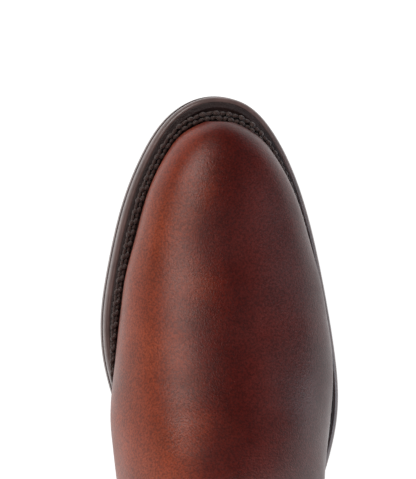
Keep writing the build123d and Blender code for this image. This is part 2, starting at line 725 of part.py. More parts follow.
def upright(x, y, radius, half_length):
    """Vertical round bar centred on the strap."""
    with BuildPart() as bar:
        with BuildSketch(Plane.XY.offset(middle_z - half_length)):
            with Locations((x, y)):
                Circle(radius)
        extrude(amount=2 * half_length)
    return bar.part


rail_turn = (0, 0, degrees(atan2(front_y - bar_y, front_x - bar_x)))
with BuildPart() as buckle_frame:
    add(upright(bar_x, bar_y, BAR_RADIUS, FRAME_HALF))
    add(upright(front_x, front_y, BAR_RADIUS, FRAME_HALF))
    for low in (middle_z - FRAME_HALF, middle_z + FRAME_HALF - RAIL):
        with BuildSketch(Plane.XY.offset(low)):
            with Locations(Location(((bar_x + front_x) / 2, (bar_y + front_y) / 2, 0), rail_turn)):
                SlotCenterToCenter(hypot(front_x - bar_x, front_y - bar_y), 2 * RAIL_RADIUS)
        extrude(amount=RAIL)

with BuildPart() as buckle_roller:
    add(upright(front_x, front_y, ROLLER_RADIUS, ROLLER_HALF))
    add(upright(front_x, front_y, BAR_RADIUS + RUNNING, ROLLER_HALF + 1), mode=Mode.SUBTRACT)

with BuildPart() as buckle_prong:
    with BuildSketch(Plane.XY.offset(middle_z - PRONG_WIDTH / 2)):
        add(strip_face([(-7, 4.5), (-2, 5.15), (4, 6.3), (9, 6.95), (12.5, 6.7)], PRONG_THICK))
        with Locations((bar_x, bar_y)):
            Circle(PRONG_EYE)
        with Locations((bar_x, bar_y)):
            Circle(loop_radius, mode=Mode.SUBTRACT)
    extrude(amount=PRONG_WIDTH)

pieces = {
    "outsole": outsole, "midsole": midsole, "storm_welt": storm_welt, "heel_rand": heel_rand,
    "gemming_rib": gemming_rib, "cork_filler": cork_filler, "steel_shank": steel_shank,
    "insole": insole, "sock_liner": sock_liner, "braided_stitch": braided_stitch,
    "heel_nails": heel_nails, "heel_top_piece": heel_top_piece, "heel_lift_1": heel_lift_1,
    "heel_lift_2": heel_lift_2, "heel_lift_3": heel_lift_3, "vamp": vamp,
    "counter_foxing": counter_foxing, "leg_front": leg_front, "leg_back": leg_back,
    "elastic_gusset": elastic_gusset, "top_binding": top_binding, "side_strip": side_strip,
    "back_stay": back_stay, "toe_puff": toe_puff, "vamp_interlining": vamp_interlining,
    "heel_counter": heel_counter, "shaft_interlining": shaft_interlining,
    "vamp_lining": vamp_lining, "leg_lining": leg_lining, "back_pull_loop": back_pull_loop,
    "zip_tape_front": zip_tape_front, "zip_tape_back": zip_tape_back,
    "zip_teeth_front": zip_teeth_front, "zip_teeth_back": zip_teeth_back,
    "zip_bottom_stop": zip_bottom_stop, "zip_top_stops": zip_top_stops,
    "zip_slider": zip_slider, "zip_puller": zip_puller, "strap_billet": strap_billet,
    "strap_chape": strap_chape, "strap_keeper": strap_keeper, "strap_rivets": strap_rivets,
    "buckle_frame": buckle_frame, "buckle_roller": buckle_roller, "buckle_prong": buckle_prong,
}
for name, piece in pieces.items():
    piece.part.label = name
    export_step(piece.part, f"parts/{name}.step")
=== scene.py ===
import math
import random

import bpy
from mathutils import Matrix, Vector
from mathutils.bvhtree import BVHTree


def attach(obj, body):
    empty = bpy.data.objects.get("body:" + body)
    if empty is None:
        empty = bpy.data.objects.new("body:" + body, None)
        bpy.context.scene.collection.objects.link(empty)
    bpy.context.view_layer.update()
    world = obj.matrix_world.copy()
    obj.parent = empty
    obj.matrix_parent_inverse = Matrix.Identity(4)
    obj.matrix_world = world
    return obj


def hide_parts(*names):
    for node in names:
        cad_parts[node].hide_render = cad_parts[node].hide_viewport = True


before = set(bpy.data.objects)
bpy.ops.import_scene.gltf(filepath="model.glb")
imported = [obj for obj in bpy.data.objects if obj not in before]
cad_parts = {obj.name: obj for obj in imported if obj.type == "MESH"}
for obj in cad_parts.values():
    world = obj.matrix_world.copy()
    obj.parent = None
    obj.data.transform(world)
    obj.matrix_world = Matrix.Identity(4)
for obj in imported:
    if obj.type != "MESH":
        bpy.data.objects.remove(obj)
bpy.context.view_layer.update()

HEEL_CENTRE = 0.038
WAIST = 0.084
SEAM_Y = HEEL_CENTRE - 0.056
LIFT = 0.013  # the sole from its lower face to the upper
UP = Vector((0, 0, 1))
LINE = [
    (-0.040, 0.105), (-0.002, 0.104), (0.030, 0.099), (0.056, 0.084), (0.076, 0.062), (0.084, 0.043),
    (0.090, 0.066), (0.099, 0.092), (0.1065, 0.112), (0.1125, 0.127), (0.121, 0.140),
]
random.seed(7)


# --- sampling the frame ------------------------------------------------------------------
def tree(*names):
    """One BVH of several CAD nodes."""
    points, faces = [], []
    for name in names:
        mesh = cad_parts[name].data
        start = len(points)
        points += [v.co.copy() for v in mesh.vertices]
        faces += [[start + i for i in p.vertices] for p in mesh.polygons]
    return BVHTree.FromPolygons(points, faces)


OUTER = tree("vamp", "leg_front", "leg_back", "counter_foxing", "elastic_gusset", "top_binding")
SOLE = tree("outsole")


def far_hit(bvh, origin, direction, reach=0.25):
    """Outermost hit from a point inside, found from outside."""
    direction = direction.normalized()
    hit = bvh.ray_cast(origin + direction * reach, -direction, reach)[0]
    return hit


def near_hit(bvh, origin, direction):
    """First hit from a point inside."""
    return bvh.ray_cast(origin, direction.normalized(), 0.3)[0]


def ease(x, low, high):
    """Smooth step from 0 at low to 1 at high."""
    t = max(0.0, min(1.0, (x - low) / (high - low)))
    return t * t * (3 - 2 * t)


def along(table, x):
    """Straight interpolation in a table of (x, value)."""
    if x <= table[0][0]:
        return table[0][1]
    for (x0, v0), (x1, v1) in zip(table, table[1:]):
        if x <= x1:
            return v0 + (v1 - v0) * (x - x0) / (x1 - x0)
    return table[-1][1]


def sole_height(s):
    """Height of the sole's lower face at a station, from the CAD outsole."""
    start = Vector((0.0 if s < 0.25 else 0.005, HEEL_CENTRE - s, -0.05))
    hit = SOLE.ray_cast(start, UP, 0.2)[0]
    return hit.z if hit else None


PROFILE = []
for k in range(0, 102):
    s = 0.001 + 0.303 * k / 101
    z = sole_height(s)
    if z is not None:
        PROFILE.append((s, z))


def prof(y):
    """Lower face of the sole at y."""
    return along(PROFILE, HEEL_CENTRE - y)


# --- materials -----------------------------------------------------------------------------
def srgb(*values):
    """Linear colour from 0-255 values."""
    shares = [v / 255 for v in values]
    return tuple(c / 12.92 if c <= 0.04 else ((c + 0.055) / 1.055) ** 2.4 for c in shares) + (1,)


def scaled(colour, factor):
    """A lighter or darker colour."""
    return tuple(min(1, c * factor) for c in colour[:3]) + (1,)


def grey(value):
    """A grey of one value."""
    return (value, value, value, 1)


class Nodes:
    """Short hand for building a node material."""

    def __init__(self, name):
        self.mat = bpy.data.materials.new(name)
        self.mat.use_nodes = True
        self.tree = self.mat.node_tree
        self.bsdf = next(n for n in self.tree.nodes if n.type == "BSDF_PRINCIPLED")
        self.space = self.new("ShaderNodeTexCoord").outputs["Object"]

    def new(self, kind, **settings):
        node = self.tree.nodes.new(kind)
        for key, value in settings.items():
            setattr(node, key, value)
        return node

    def link(self, a, b):
        self.tree.links.new(a, b)

    def set(self, **values):
        for key, value in values.items():
            self.bsdf.inputs[key.replace("_", " ")].default_value = value

    def noise(self, scale, detail=4.0, rough=0.55, stretch=None):
        node = self.new("ShaderNodeTexNoise")
        node.inputs["Scale"].default_value = scale
        node.inputs["Detail"].default_value = detail
        node.inputs["Roughness"].default_value = rough
        self.link(self.mapped(stretch), node.inputs["Vector"])
        return node.outputs["Fac"]

    def mapped(self, stretch=None):
        if not stretch:
            return self.space
        node = self.new("ShaderNodeMapping")
        node.inputs["Scale"].default_value = stretch
        self.link(self.space, node.inputs["Vector"])
        return node.outputs["Vector"]

    def voronoi(self, scale, feature="DISTANCE_TO_EDGE", stretch=None):
        node = self.new("ShaderNodeTexVoronoi", feature=feature)
        node.inputs["Scale"].default_value = scale
        self.link(self.mapped(stretch), node.inputs["Vector"])
        return node.outputs["Distance"]

    def ramp(self, value, stops):
        node = self.new("ShaderNodeValToRGB")
        elements = node.color_ramp.elements
        for element in list(elements)[1:]:
            elements.remove(element)
        for i, (place, colour) in enumerate(stops):
            element = elements[0] if i == 0 else elements.new(place)
            element.position = place
            element.color = colour
        self.link(value, node.inputs["Fac"])
        return node.outputs["Color"]

    def math(self, operation, a, b=None):
        node = self.new("ShaderNodeMath", operation=operation)
        for socket, value in zip(node.inputs, (a, b)):
            if value is None:
                continue
            if isinstance(value, (int, float)):
                socket.default_value = value
            else:
                self.link(value, socket)
        return node.outputs[0]

    def mix(self, factor, a, b, blend="MIX"):
        node = self.new("ShaderNodeMix", data_type="RGBA", blend_type=blend)
        sockets = [s for s in node.inputs if s.enabled]
        for socket, value in zip((sockets[0], sockets[1], sockets[2]), (factor, a, b)):
            if isinstance(value, (int, float)):
                socket.default_value = value
            elif isinstance(value, tuple):
                socket.default_value = value
            else:
                self.link(value, socket)
        return next(s for s in node.outputs if s.enabled)

    def bump(self, height, strength, distance, before=None):
        node = self.new("ShaderNodeBump")
        node.inputs["Strength"].default_value = strength
        node.inputs["Distance"].default_value = distance
        self.link(height, node.inputs["Height"])
        if before is not None:
            self.link(before, node.inputs["Normal"])
        return node.outputs["Normal"]

    def axis(self, name):
        node = self.new("ShaderNodeSeparateXYZ")
        self.link(self.space, node.inputs[0])
        return node.outputs[name]


def calf_material(name, dark=0.0, grain=1.0):
    """Burnished calf: chestnut on the inner side, brightened there as painted light, a dark red painted
    shade band over the ridge, brown-violet outside.
    """
    m = Nodes(name)
    # The ramp across X paints light and shade over the leather's own burnished tone: a brighter chestnut
    # inner (+X) side as painted light, and a dark painted shade band down the middle at X = 0.
    side = m.math("MULTIPLY_ADD", m.axis("X"), 9.0)
    side.node.inputs[2].default_value = 0.5
    wander = m.noise(26.0, 3.0, 0.5)
    place = m.math("ADD", side, m.math("MULTIPLY", m.math("SUBTRACT", wander, 0.5), 0.35))
    base = m.ramp(place, [
        (0.0, srgb(78, 42, 42)), (0.22, srgb(92, 46, 45)), (0.38, srgb(100, 38, 34)),
        (0.5, srgb(88, 22, 16)), (0.6, srgb(104, 30, 18)), (0.72, srgb(146, 58, 30)),
        (0.86, srgb(154, 68, 38)), (1.0, srgb(126, 58, 36)),
    ])
    cloud = m.ramp(m.noise(60.0, 6.0, 0.62), [(0.3, (0.72, 0.68, 0.66, 1)), (0.62, (1.12, 1.1, 1.06, 1))])
    colour = m.mix(0.75, base, cloud, "MULTIPLY")
    speck = m.ramp(m.noise(1050.0, 2.0, 0.6), [(0.38, (0.52, 0.48, 0.46, 1)), (0.62, (1.3, 1.26, 1.2, 1))])
    colour = m.mix(0.7, colour, speck, "MULTIPLY")
    forward = m.math("MULTIPLY", m.axis("Y"), -1.0)
    toe = m.ramp(forward, [(0.205, grey(1)), (0.252, (0.62, 0.36, 0.34, 1))])
    colour = m.mix(0.4, colour, toe, "MULTIPLY")
    if dark:
        colour = m.mix(dark, colour, (0.05, 0.02, 0.015, 1))
    m.link(colour, m.bsdf.inputs["Base Color"])
    pores = m.voronoi(900.0)
    fine = m.noise(1100.0, 3.0, 0.6)
    folds = m.noise(34.0, 3.0, 0.5, (1.0, 2.2, 1.0))
    normal = m.bump(pores, 0.24 * grain, 0.0004)
    normal = m.bump(fine, 0.3 * grain, 0.0004, normal)
    normal = m.bump(folds, 0.10, 0.002, normal)
    m.link(normal, m.bsdf.inputs["Normal"])
    rough = m.ramp(m.noise(45.0, 4.0, 0.6), [(0.3, grey(0.30)), (0.7, grey(0.46))])
    m.link(rough, m.bsdf.inputs["Roughness"])
    m.set(Coat_Weight=0.12, Coat_Roughness=0.3, Specular_IOR_Level=0.32)
    return m.mat


def plain_leather(name, colour, rough=0.5, scale=700.0, strength=0.3, coat=0.0, layers=False):
    """Edge or lining leather with grain, mottling and, on a stack, fine layers."""
    m = Nodes(name)
    tint = m.ramp(m.noise(90.0, 5.0, 0.6), [(0.3, scaled(colour, 0.66)), (0.7, scaled(colour, 1.3))])
    if layers:
        lines = m.noise(1.0, 2.0, 0.5, (14.0, 14.0, 1500.0))
        layer = m.ramp(lines, [(0.35, (0.55, 0.52, 0.5, 1)), (0.6, grey(1.2))])
        tint = m.mix(0.6, tint, layer, "MULTIPLY")
        normal = m.bump(lines, 0.35, 0.0004)
    else:
        normal = m.bump(m.noise(scale, 4.0, 0.65), strength, 0.0005)
    m.link(tint, m.bsdf.inputs["Base Color"])
    m.link(m.bump(m.voronoi(scale), strength * 0.6, 0.0004, normal), m.bsdf.inputs["Normal"])
    m.set(Roughness=rough, Coat_Weight=coat, Coat_Roughness=0.3)
    return m.mat


def woven(name, colour, scale=1400.0):
    """Twill: crossed waves with loose fibres."""
    m = Nodes(name)
    wave = m.new("ShaderNodeTexWave", bands_direction="DIAGONAL")
    wave.inputs["Scale"].default_value = scale / 4
    wave.inputs["Distortion"].default_value = 1.0
    m.link(m.space, wave.inputs["Vector"])
    fibre = m.noise(scale, 3.0, 0.7)
    tint = m.mix(fibre, scaled(colour, 0.5), scaled(colour, 1.6))
    m.link(tint, m.bsdf.inputs["Base Color"])
    m.link(m.bump(wave.outputs["Fac"], 0.5, 0.0004, m.bump(fibre, 0.4, 0.0003)), m.bsdf.inputs["Normal"])
    m.set(Roughness=0.85, Sheen_Weight=0.3)
    return m.mat


def metal(name, colour, rough=0.28):
    """Antiqued metal with worn high spots and dark hollows."""
    m = Nodes(name)
    wear = m.noise(220.0, 5.0, 0.65)
    tint = m.ramp(wear, [(0.35, scaled(colour, 0.45)), (0.6, colour)])
    m.link(tint, m.bsdf.inputs["Base Color"])
    dull = m.ramp(wear, [(0.3, grey(rough + 0.25)), (0.7, grey(rough))])
    m.link(dull, m.bsdf.inputs["Roughness"])
    m.link(m.bump(m.noise(1600.0, 3.0, 0.6), 0.12, 0.0002), m.bsdf.inputs["Normal"])
    m.set(Metallic=1.0)
    return m.mat


def rubber(name, colour):
    """Matt rubber with fine pitting and dust."""
    m = Nodes(name)
    dust = m.noise(70.0, 5.0, 0.65)
    tint = m.mix(dust, scaled(colour, 0.7), scaled(colour, 1.5))
    m.link(tint, m.bsdf.inputs["Base Color"])
    m.link(m.bump(m.noise(1200.0, 4.0, 0.7), 0.3, 0.0004), m.bsdf.inputs["Normal"])
    m.set(Roughness=0.62)
    return m.mat


CALF = calf_material("burnished_calf")
TRIM = calf_material("calf_edge", dark=0.35)
EDGE = plain_leather("sole_edge", srgb(112, 88, 84), 0.34, 500.0, 0.12, 0.5)
WELT = plain_leather("welt", srgb(50, 32, 30), 0.5, 900.0, 0.9)
STACK = plain_leather("stacked_leather", srgb(84, 50, 40), 0.36, 500.0, 0.2, 0.4, layers=True)
TAN = plain_leather("lining", srgb(176, 134, 92), 0.6, 600.0, 0.25)
THREAD = woven("waxed_thread", srgb(74, 52, 47), 2600.0)
THREAD.node_tree.nodes["Principled BSDF"].inputs["Roughness"].default_value = 0.36
SEAM = woven("seam_thread", srgb(92, 52, 34), 2600.0)
TAPE = woven("tape", srgb(44, 28, 24))
GUSSET = woven("elastic", srgb(40, 24, 22), 1800.0)
WEB = woven("webbing", srgb(58, 38, 28), 1200.0)
RUBBER = rubber("rubber", srgb(38, 32, 31))
BRASS = metal("antique_brass", srgb(176, 142, 92))
STEEL = metal("steel", srgb(170, 168, 164), 0.3)


# --- mesh helpers ----------------------------------------------------------------------------
def make(name, points, faces, material, body="boot", smooth=True):
    """Mesh object in the row frame that rides on a body."""
    mesh = bpy.data.meshes.new(name)
    mesh.from_pydata([tuple(p) for p in points], [], faces)
    mesh.update()
    obj = bpy.data.objects.new(name, mesh)
    bpy.context.scene.collection.objects.link(obj)
    mesh.materials.append(material)
    if smooth:
        mesh.polygons.foreach_set("use_smooth", [True] * len(mesh.polygons))
    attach(obj, body)
    return obj


def grid_faces(rows, columns, closed=False, flip=False):
    """Quads of a grid, closed round its columns if asked."""
    faces = []
    for r in range(rows - 1):
        for c in range(columns if closed else columns - 1):
            d = (c + 1) % columns
            face = [r * columns + c, r * columns + d, (r + 1) * columns + d, (r + 1) * columns + c]
            faces.append(face[::-1] if flip else face)
    return faces


def relax(grid, rounds=2, wrap=False):
    """Evens out a grid of points, keeping its edges."""
    for _ in range(rounds):
        new = [row[:] for row in grid]
        for r in range(1, len(grid) - 1):
            row = grid[r]
            for c in range(len(row)):
                if not wrap and c in (0, len(row) - 1):
                    continue
                left, right = row[c - 1], row[(c + 1) % len(row)]
                new[r][c] = row[c] * 0.5 + (left + right + grid[r - 1][c] + grid[r + 1][c]) * 0.125
        grid = new
    return grid


def normals(grid, wrap=False):
    """Outward normals of a grid that runs round a body."""
    result = []
    for r, row in enumerate(grid):
        line = []
        for c in range(len(row)):
            a = row[c - 1] if wrap or c else row[c]
            b = row[(c + 1) % len(row)] if wrap or c < len(row) - 1 else row[c]
            up, down = grid[min(r + 1, len(grid) - 1)][c], grid[max(r - 1, 0)][c]
            n = (b - a).cross(up - down)
            line.append(n.normalized() if n.length > 1e-12 else Vector((0, 0, 1)))
        result.append(line)
    return result


def orient(grid, norms, centre):
    """Flips the normals if they point at the centre."""
    r, c = len(grid) // 2, len(grid[0]) // 2
    if (grid[r][c] - centre).dot(norms[r][c]) < 0:
        return [[-n for n in row] for row in norms], True
    return norms, False


def panel(name, grid, thick, centre, material, nodes=(), raise_edges=(), wrap=False, lift=0.0):
    """Leather panel: a smooth outer skin with a rounded, turned edge down to its thickness.

    raise_edges is not used; it would list the grid's sides that end in a visible cut edge: low, high, left,
    right.
    """
    norms, flip = orient(grid, normals(grid, wrap), centre)
    rows, columns = len(grid), len(grid[0])
    skin = [[p + n * lift for p, n in zip(row, line)] for row, line in zip(grid, norms)]
    points = [p for row in skin for p in row]
    faces = grid_faces(rows, columns, wrap, flip)
    if wrap:
        loops = [[c for c in range(columns)], [(rows - 1) * columns + c for c in range(columns)]]
    else:
        loop = [c for c in range(columns)]
        loop += [r * columns + columns - 1 for r in range(1, rows)]
        loop += [(rows - 1) * columns + c for c in range(columns - 2, -1, -1)]
        loop += [r * columns for r in range(rows - 2, 0, -1)]
        loops = [loop]
    flat_norms = [n for line in norms for n in line]
    for ring in loops:
        previous = ring
        for step in (0.35, 0.75, 1.0):
            start = len(points)
            for i in ring:
                points.append(points[i] - flat_norms[i] * thick * step)
            current = list(range(start, start + len(ring)))
            for k in range(len(ring)):
                j = (k + 1) % len(ring)
                faces.append([previous[k], current[k], current[j], previous[j]])
            previous = current
    obj = make(name, points, faces, material)
    if nodes:
        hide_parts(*nodes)
    return obj


def bead_mesh(points, faces, start, end, normal, radius, flat=1.0, sides=8, rings=6):
    """Adds one capsule-shaped stitch between two points."""
    axis = end - start
    length = axis.length
    along_axis = axis.normalized()
    side = along_axis.cross(normal).normalized()
    up = side.cross(along_axis).normalized()
    first = len(points)
    for r in range(rings + 1):
        t = r / rings
        swell = math.sin(math.pi * (0.06 + 0.88 * t)) ** 0.55
        centre = start + along_axis * length * t + up * radius * 0.25 * math.sin(math.pi * t)
        for k in range(sides):
            a = 2 * math.pi * k / sides
            across = side * math.cos(a) + up * math.sin(a) * flat
            points.append(centre + across * radius * swell)
    for face in grid_faces(rings + 1, sides, closed=True):
        faces.append([first + i for i in face])
    faces.append([first + k for k in range(sides)][::-1])
    faces.append([first + rings * sides + k for k in range(sides)])


def resample(path, pitch):
    """Evenly spaced points on a polyline, with the distance of each."""
    lengths = [0.0]
    for a, b in zip(path, path[1:]):
        lengths.append(lengths[-1] + (b - a).length)
    count = max(2, int(lengths[-1] / pitch))
    result, k = [], 0
    for i in range(count + 1):
        d = lengths[-1] * i / count
        while k < len(path) - 2 and lengths[k + 1] < d:
            k += 1
        span = lengths[k + 1] - lengths[k]
        t = 0 if span < 1e-9 else (d - lengths[k]) / span
        result.append(path[k].lerp(path[k + 1], max(0.0, min(1.0, t))))
    return result


def on_skin(p, inside, above=0.0003):
    """A point moved out to the leather's face, and the normal there."""
    hit, normal, _, _ = OUTER.find_nearest(p)
    if (hit - inside).dot(normal) < 0:
        normal = -normal
    return hit + normal * above, normal


def seam(name, path, inside, pitch=0.0032, radius=0.00034, above=0.0002, material=None):
    """Row of thread stitches that lies in the leather along a path."""
    points, faces = [], []
    spots = resample(path, pitch)
    for a, b in zip(spots, spots[1:]):
        start, end = a.lerp(b, 0.12), a.lerp(b, 0.88)
        centre = inside(a) if callable(inside) else inside
        start, n1 = on_skin(start, centre, above)
        end, n2 = on_skin(end, centre, above)
        if (end - start).length < pitch * 1.8:
            bead_mesh(points, faces, start, end, (n1 + n2).normalized(), radius, 0.8, 6, 4)
    return make(name, points, faces, material or SEAM)


# --- upper: sampled grids --------------------------------------------------------------------
LEG_MIDDLE = [
    (0.04, 0.010), (0.08, -0.002), (0.118, -0.013), (0.15, -0.020), (0.20, -0.018), (0.30, -0.016),
    (0.41, -0.017),
]


def leg_centre(z):
    """Middle of the leg at a height."""
    return Vector((0.0, along(LEG_MIDDLE, z), z))


def leg_point(bvh, angle, z, outer=True):
    """Point of the leg at an angle from the inner side (+X) towards the toe, at a height."""
    centre = leg_centre(z)
    direction = Vector((math.cos(angle), -math.sin(angle), 0))
    return far_hit(bvh, centre, direction) if outer else near_hit(bvh, centre, direction)


def line_height(y):
    """Height of the vamp and foxing line at y."""
    return along(LINE, HEEL_CENTRE - y)


def top_height(y):
    """Height of the slanted top line at y."""
    s = HEEL_CENTRE - y
    return 0.392 + (s + 0.0075) / 0.126 * 0.016


def solve(function, low, high, rounds=18):
    """Root of a rising function."""
    for _ in range(rounds):
        middle = (low + high) / 2
        if function(middle) < 0:
            low = middle
        else:
            high = middle
    return (low + high) / 2


def spread(low, high, count):
    """Evenly spaced numbers."""
    return [low + (high - low) * k / (count - 1) for k in range(count)]


# --- upper: panels ---------------------------------------------------------------------------
MIDDLE = Vector((0.0, -0.03, 0.2))
HEIGHTS = spread(0.04, 0.11, 12) + spread(0.1165, 0.1235, 12) + spread(0.13, 0.409, 50)


def edge_table(y_at, lateral):
    """Angles, height by height, at which one side of the leg reaches a y."""
    side = -1 if lateral else 1
    table = []
    for z in HEIGHTS:
        hit = OUTER.ray_cast(Vector((0.2 * side, y_at(z), z)), Vector((-side, 0, 0)), 0.4)[0]
        if hit is None or hit.x * side < 0.004:
            hit = Vector((0.035 * side, y_at(z), z))
        centre = leg_centre(z)
        table.append((z, math.atan2(centre.y - hit.y, hit.x - centre.x) % (2 * math.pi)))
    return table if lateral else [(z, a - 2 * math.pi if a > math.pi else a) for z, a in table]


def slot_half(z):
    """Half width of the zip's slot at a height, with a round lower end."""
    return 0.0063 * math.sqrt(max(0.0, 1 - (1 - min(1.0, max(0.0, (z - 0.1172) / 0.006))) ** 2))


def gusset_half(z):
    """Half width of the elastic wedge at a height."""
    return 0.015 * max(0.0, z - 0.300) / 0.120


FRONT_MEDIAL = edge_table(lambda z: SEAM_Y - slot_half(z), False)
FRONT_LATERAL = edge_table(lambda z: SEAM_Y - gusset_half(z), True)
BACK_LATERAL = edge_table(lambda z: SEAM_Y + gusset_half(z), True)
BACK_MEDIAL = [(z, a + 2 * math.pi) for z, a in edge_table(lambda z: SEAM_Y + slot_half(z), False)]


def leg_panel_grid(first, last, columns, rows, low_extra, high_drop, bvh=OUTER, outer=True, low=None):
    """Grid of a leg panel between two edge tables, from the lower line to the top line."""
    def angle(f, z):
        a, b = along(first, z), along(last, z)
        return a + (b - a) * f

    grid = []
    spans = []
    for f in spread(0, 1, columns):
        def low_gap(z):
            hit = leg_point(OUTER, angle(f, z), z)
            return (z - line_height(hit.y)) if hit else -1.0

        def high_gap(z):
            hit = leg_point(OUTER, angle(f, z), z)
            return (z - top_height(hit.y)) if hit else 1.0
        bottom = solve(low_gap, 0.043, 0.16) + low_extra if low is None else low
        spans.append((f, bottom, solve(high_gap, 0.36, 0.4085) - high_drop))
    for t in spread(0, 1, rows):
        line = []
        for f, z0, z1 in spans:
            z = z0 + (z1 - z0) * t
            hit = leg_point(bvh, angle(f, z), z, outer)
            line.append(hit)
        grid.append(line)
    return mend(grid)


def mend(grid):
    """Fills the few missed rays from their neighbours."""
    for r, row in enumerate(grid):
        for c, p in enumerate(row):
            if p is None:
                near = [grid[a][b] for a in range(max(0, r - 3), min(len(grid), r + 4))
                        for b in range(max(0, c - 3), min(len(row), c + 4)) if grid[a][b] is not None]
                row[c] = sum(near, Vector()) / len(near) if near else Vector((0, 0, 0.2))
    return grid


front_grid = relax(leg_panel_grid(FRONT_MEDIAL, FRONT_LATERAL, 84, 110, 0.0, 0.003), 6)
back_grid = relax(leg_panel_grid(BACK_LATERAL, BACK_MEDIAL, 70, 110, 0.0, 0.003), 6)


def ripple(grid, centre, depth=0.0005):
    """Soft standing creases round the ankle."""
    norms, _ = orient(grid, normals(grid), centre)
    for row, line in zip(grid, norms):
        for p, n in zip(row, line):
            near = math.exp(-((p.z - 0.135) / 0.035) ** 2)
            wave = math.sin(p.z * 470 + 3.2 * math.sin(p.x * 75 + p.z * 40) + p.y * 85)
            beside = ((p.y - SEAM_Y) / 0.007) ** 2 + ((p.z - 0.108) / 0.013) ** 2
            rest = math.exp(-beside) if p.x > 0 else 0.0
            p += n * (depth * near * wave * (1 - rest) - 0.0008 * rest)
    return grid


panel("leg_panel_front", ripple(front_grid, MIDDLE), 0.0022, MIDDLE, CALF,
      ("leg_front", "shaft_interlining"), lift=0.0005)
panel("leg_panel_back", ripple(back_grid, MIDDLE), 0.0022, MIDDLE, CALF,
      ("leg_back",), lift=0.0005)

gusset_low = [(z, along(FRONT_LATERAL, z) - 0.02) for z in HEIGHTS]
gusset_high = [(z, along(BACK_LATERAL, z) + 0.02) for z in HEIGHTS]
gusset_grid = leg_panel_grid(gusset_low, gusset_high, 60, 60, 0.0, 0.003, low=0.298)
g_norms, _ = orient(gusset_grid, normals(gusset_grid), MIDDLE)
for row, line in zip(gusset_grid, g_norms):
    for c, (p, n) in enumerate(zip(row, line)):
        p += n * (0.00035 * math.sin(c * math.pi * 0.5) - 0.0003)
panel("gusset_elastic", gusset_grid, 0.0012, MIDDLE, GUSSET, ("elastic_gusset",))


# --- upper: foot -----------------------------------------------------------------------------
def feather(y):
    """Height at which the upper meets the welt."""
    return prof(y) + LIFT


def section(s_bottom, tilt, columns, top_stop=None):
    """Arc of points over the foot, in a plane that leans towards the toe."""
    y0 = HEEL_CENTRE - s_bottom
    base = Vector((0.004, y0, feather(y0)))
    rise = Vector((0, -math.sin(tilt), math.cos(tilt)))
    centre = base + rise * min(0.016, 0.4 * reach_up(base, rise))

    def hit_at(v):
        return far_hit(OUTER, centre, Vector((math.sin(v), 0, 0)) + rise * math.cos(v))

    def end(sign):
        def gap(v):
            hit = hit_at(sign * v)
            return 0.5 if hit is None else feather(hit.y) - 0.0012 - hit.z
        return sign * solve(gap, 0.8, 2.7, 18)
    low, high = end(-1), end(1)
    return [hit_at(v) for v in spread(low, high, columns)]


def reach_up(base, rise):
    """Distance from the base to the outer face along the rise."""
    hit = far_hit(OUTER, base + rise * 0.004, rise)
    return (hit - base).length if hit else 0.01


TIP = 0.2948
vamp_grid = []
for k in range(96):
    t = k / 95
    s = TIP - 0.0006 - (TIP - 0.0006 - 0.079) * (t ** 1.55)
    tilt = 0.365 * (1 - ease(s, 0.079, 0.175))
    vamp_grid.append(section(s, tilt, 97))
vamp_grid = relax(mend(vamp_grid), 10)
MID_FOOT = Vector((0.0, -0.14, 0.03))
v_norms, _ = orient(vamp_grid, normals(vamp_grid), MID_FOOT)
for row, line in zip(vamp_grid, v_norms):
    for p, n in zip(row, line):
        s = HEEL_CENTRE - p.y
        flex = math.exp(-((s - 0.168) / 0.022) ** 2) * ease(p.z, 0.02, 0.05)
        wave = math.sin(s * 560 + p.x * 30 + 1.5 * math.sin(p.x * 70))
        p += n * 0.00005 * flex * wave
panel("vamp_leather", vamp_grid, 0.002, MID_FOOT, CALF,
      ("vamp", "vamp_interlining", "toe_puff"))

FOX_CENTRE = 0.0


def fox_point(angle, z):
    """Point of the heel's outer face at an angle and height."""
    centre = Vector((0.0, FOX_CENTRE, z))
    return far_hit(OUTER, centre, Vector((math.cos(angle), -math.sin(angle), 0)))


def fox_end(lateral):
    """Angle at which the heel quarter runs out under the vamp."""
    z = 0.0445
    target = HEEL_CENTRE - WAIST - 0.001

    def gap(angle):
        hit = fox_point(angle, z)
        if hit is None:
            return -1.0
        return (target - hit.y) if lateral else (hit.y - target)
    if lateral:
        return solve(lambda a: -gap(a), math.pi * 0.6, math.pi * 1.4)
    return solve(lambda a: -gap(a), -math.pi * 0.4, math.pi * 0.42)


fox_a = fox_end(True)
fox_b = fox_end(False) + 2 * math.pi
fox_grid = []
spans = []
for a in spread(fox_a, fox_b, 110):
    def low_gap(z):
        hit = fox_point(a, z)
        return (z - feather(hit.y)) if hit else -1.0

    def high_gap(z):
        hit = fox_point(a, z)
        return (z - line_height(hit.y)) if hit else -1.0
    z0 = solve(low_gap, 0.02, 0.06) - 0.001
    z1 = max(z0 + 0.002, solve(high_gap, 0.042, 0.118) + 0.004)
    spans.append((a, z0, z1))
for t in spread(0, 1, 44):
    fox_grid.append([fox_point(a, z0 + (z1 - z0) * t) for a, z0, z1 in spans])
fox_grid = relax(mend(fox_grid), 4)
panel("heel_quarter", fox_grid, 0.002, Vector((0, 0, 0.07)), CALF,
      ("counter_foxing", "heel_counter"), lift=0.0002)


# --- sole ------------------------------------------------------------------------------------
def wall_tree(name):
    """Upright walls on the side edges of a node, for finding its outline."""
    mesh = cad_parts[name].data
    points, faces, seen = [], [], set()
    for polygon in mesh.polygons:
        if abs(polygon.normal.z) > 0.6:
            continue
        for a, b in polygon.edge_keys:
            if (a, b) in seen:
                continue
            seen.add((a, b))
            p, q = mesh.vertices[a].co, mesh.vertices[b].co
            if (p.xy - q.xy).length < 1e-6:
                continue
            start = len(points)
            points += [(p.x, p.y, -1), (q.x, q.y, -1), (q.x, q.y, 1), (p.x, p.y, 1)]
            faces.append([start, start + 1, start + 2, start + 3])
    return BVHTree.FromPolygons([Vector(p) for p in points], faces)


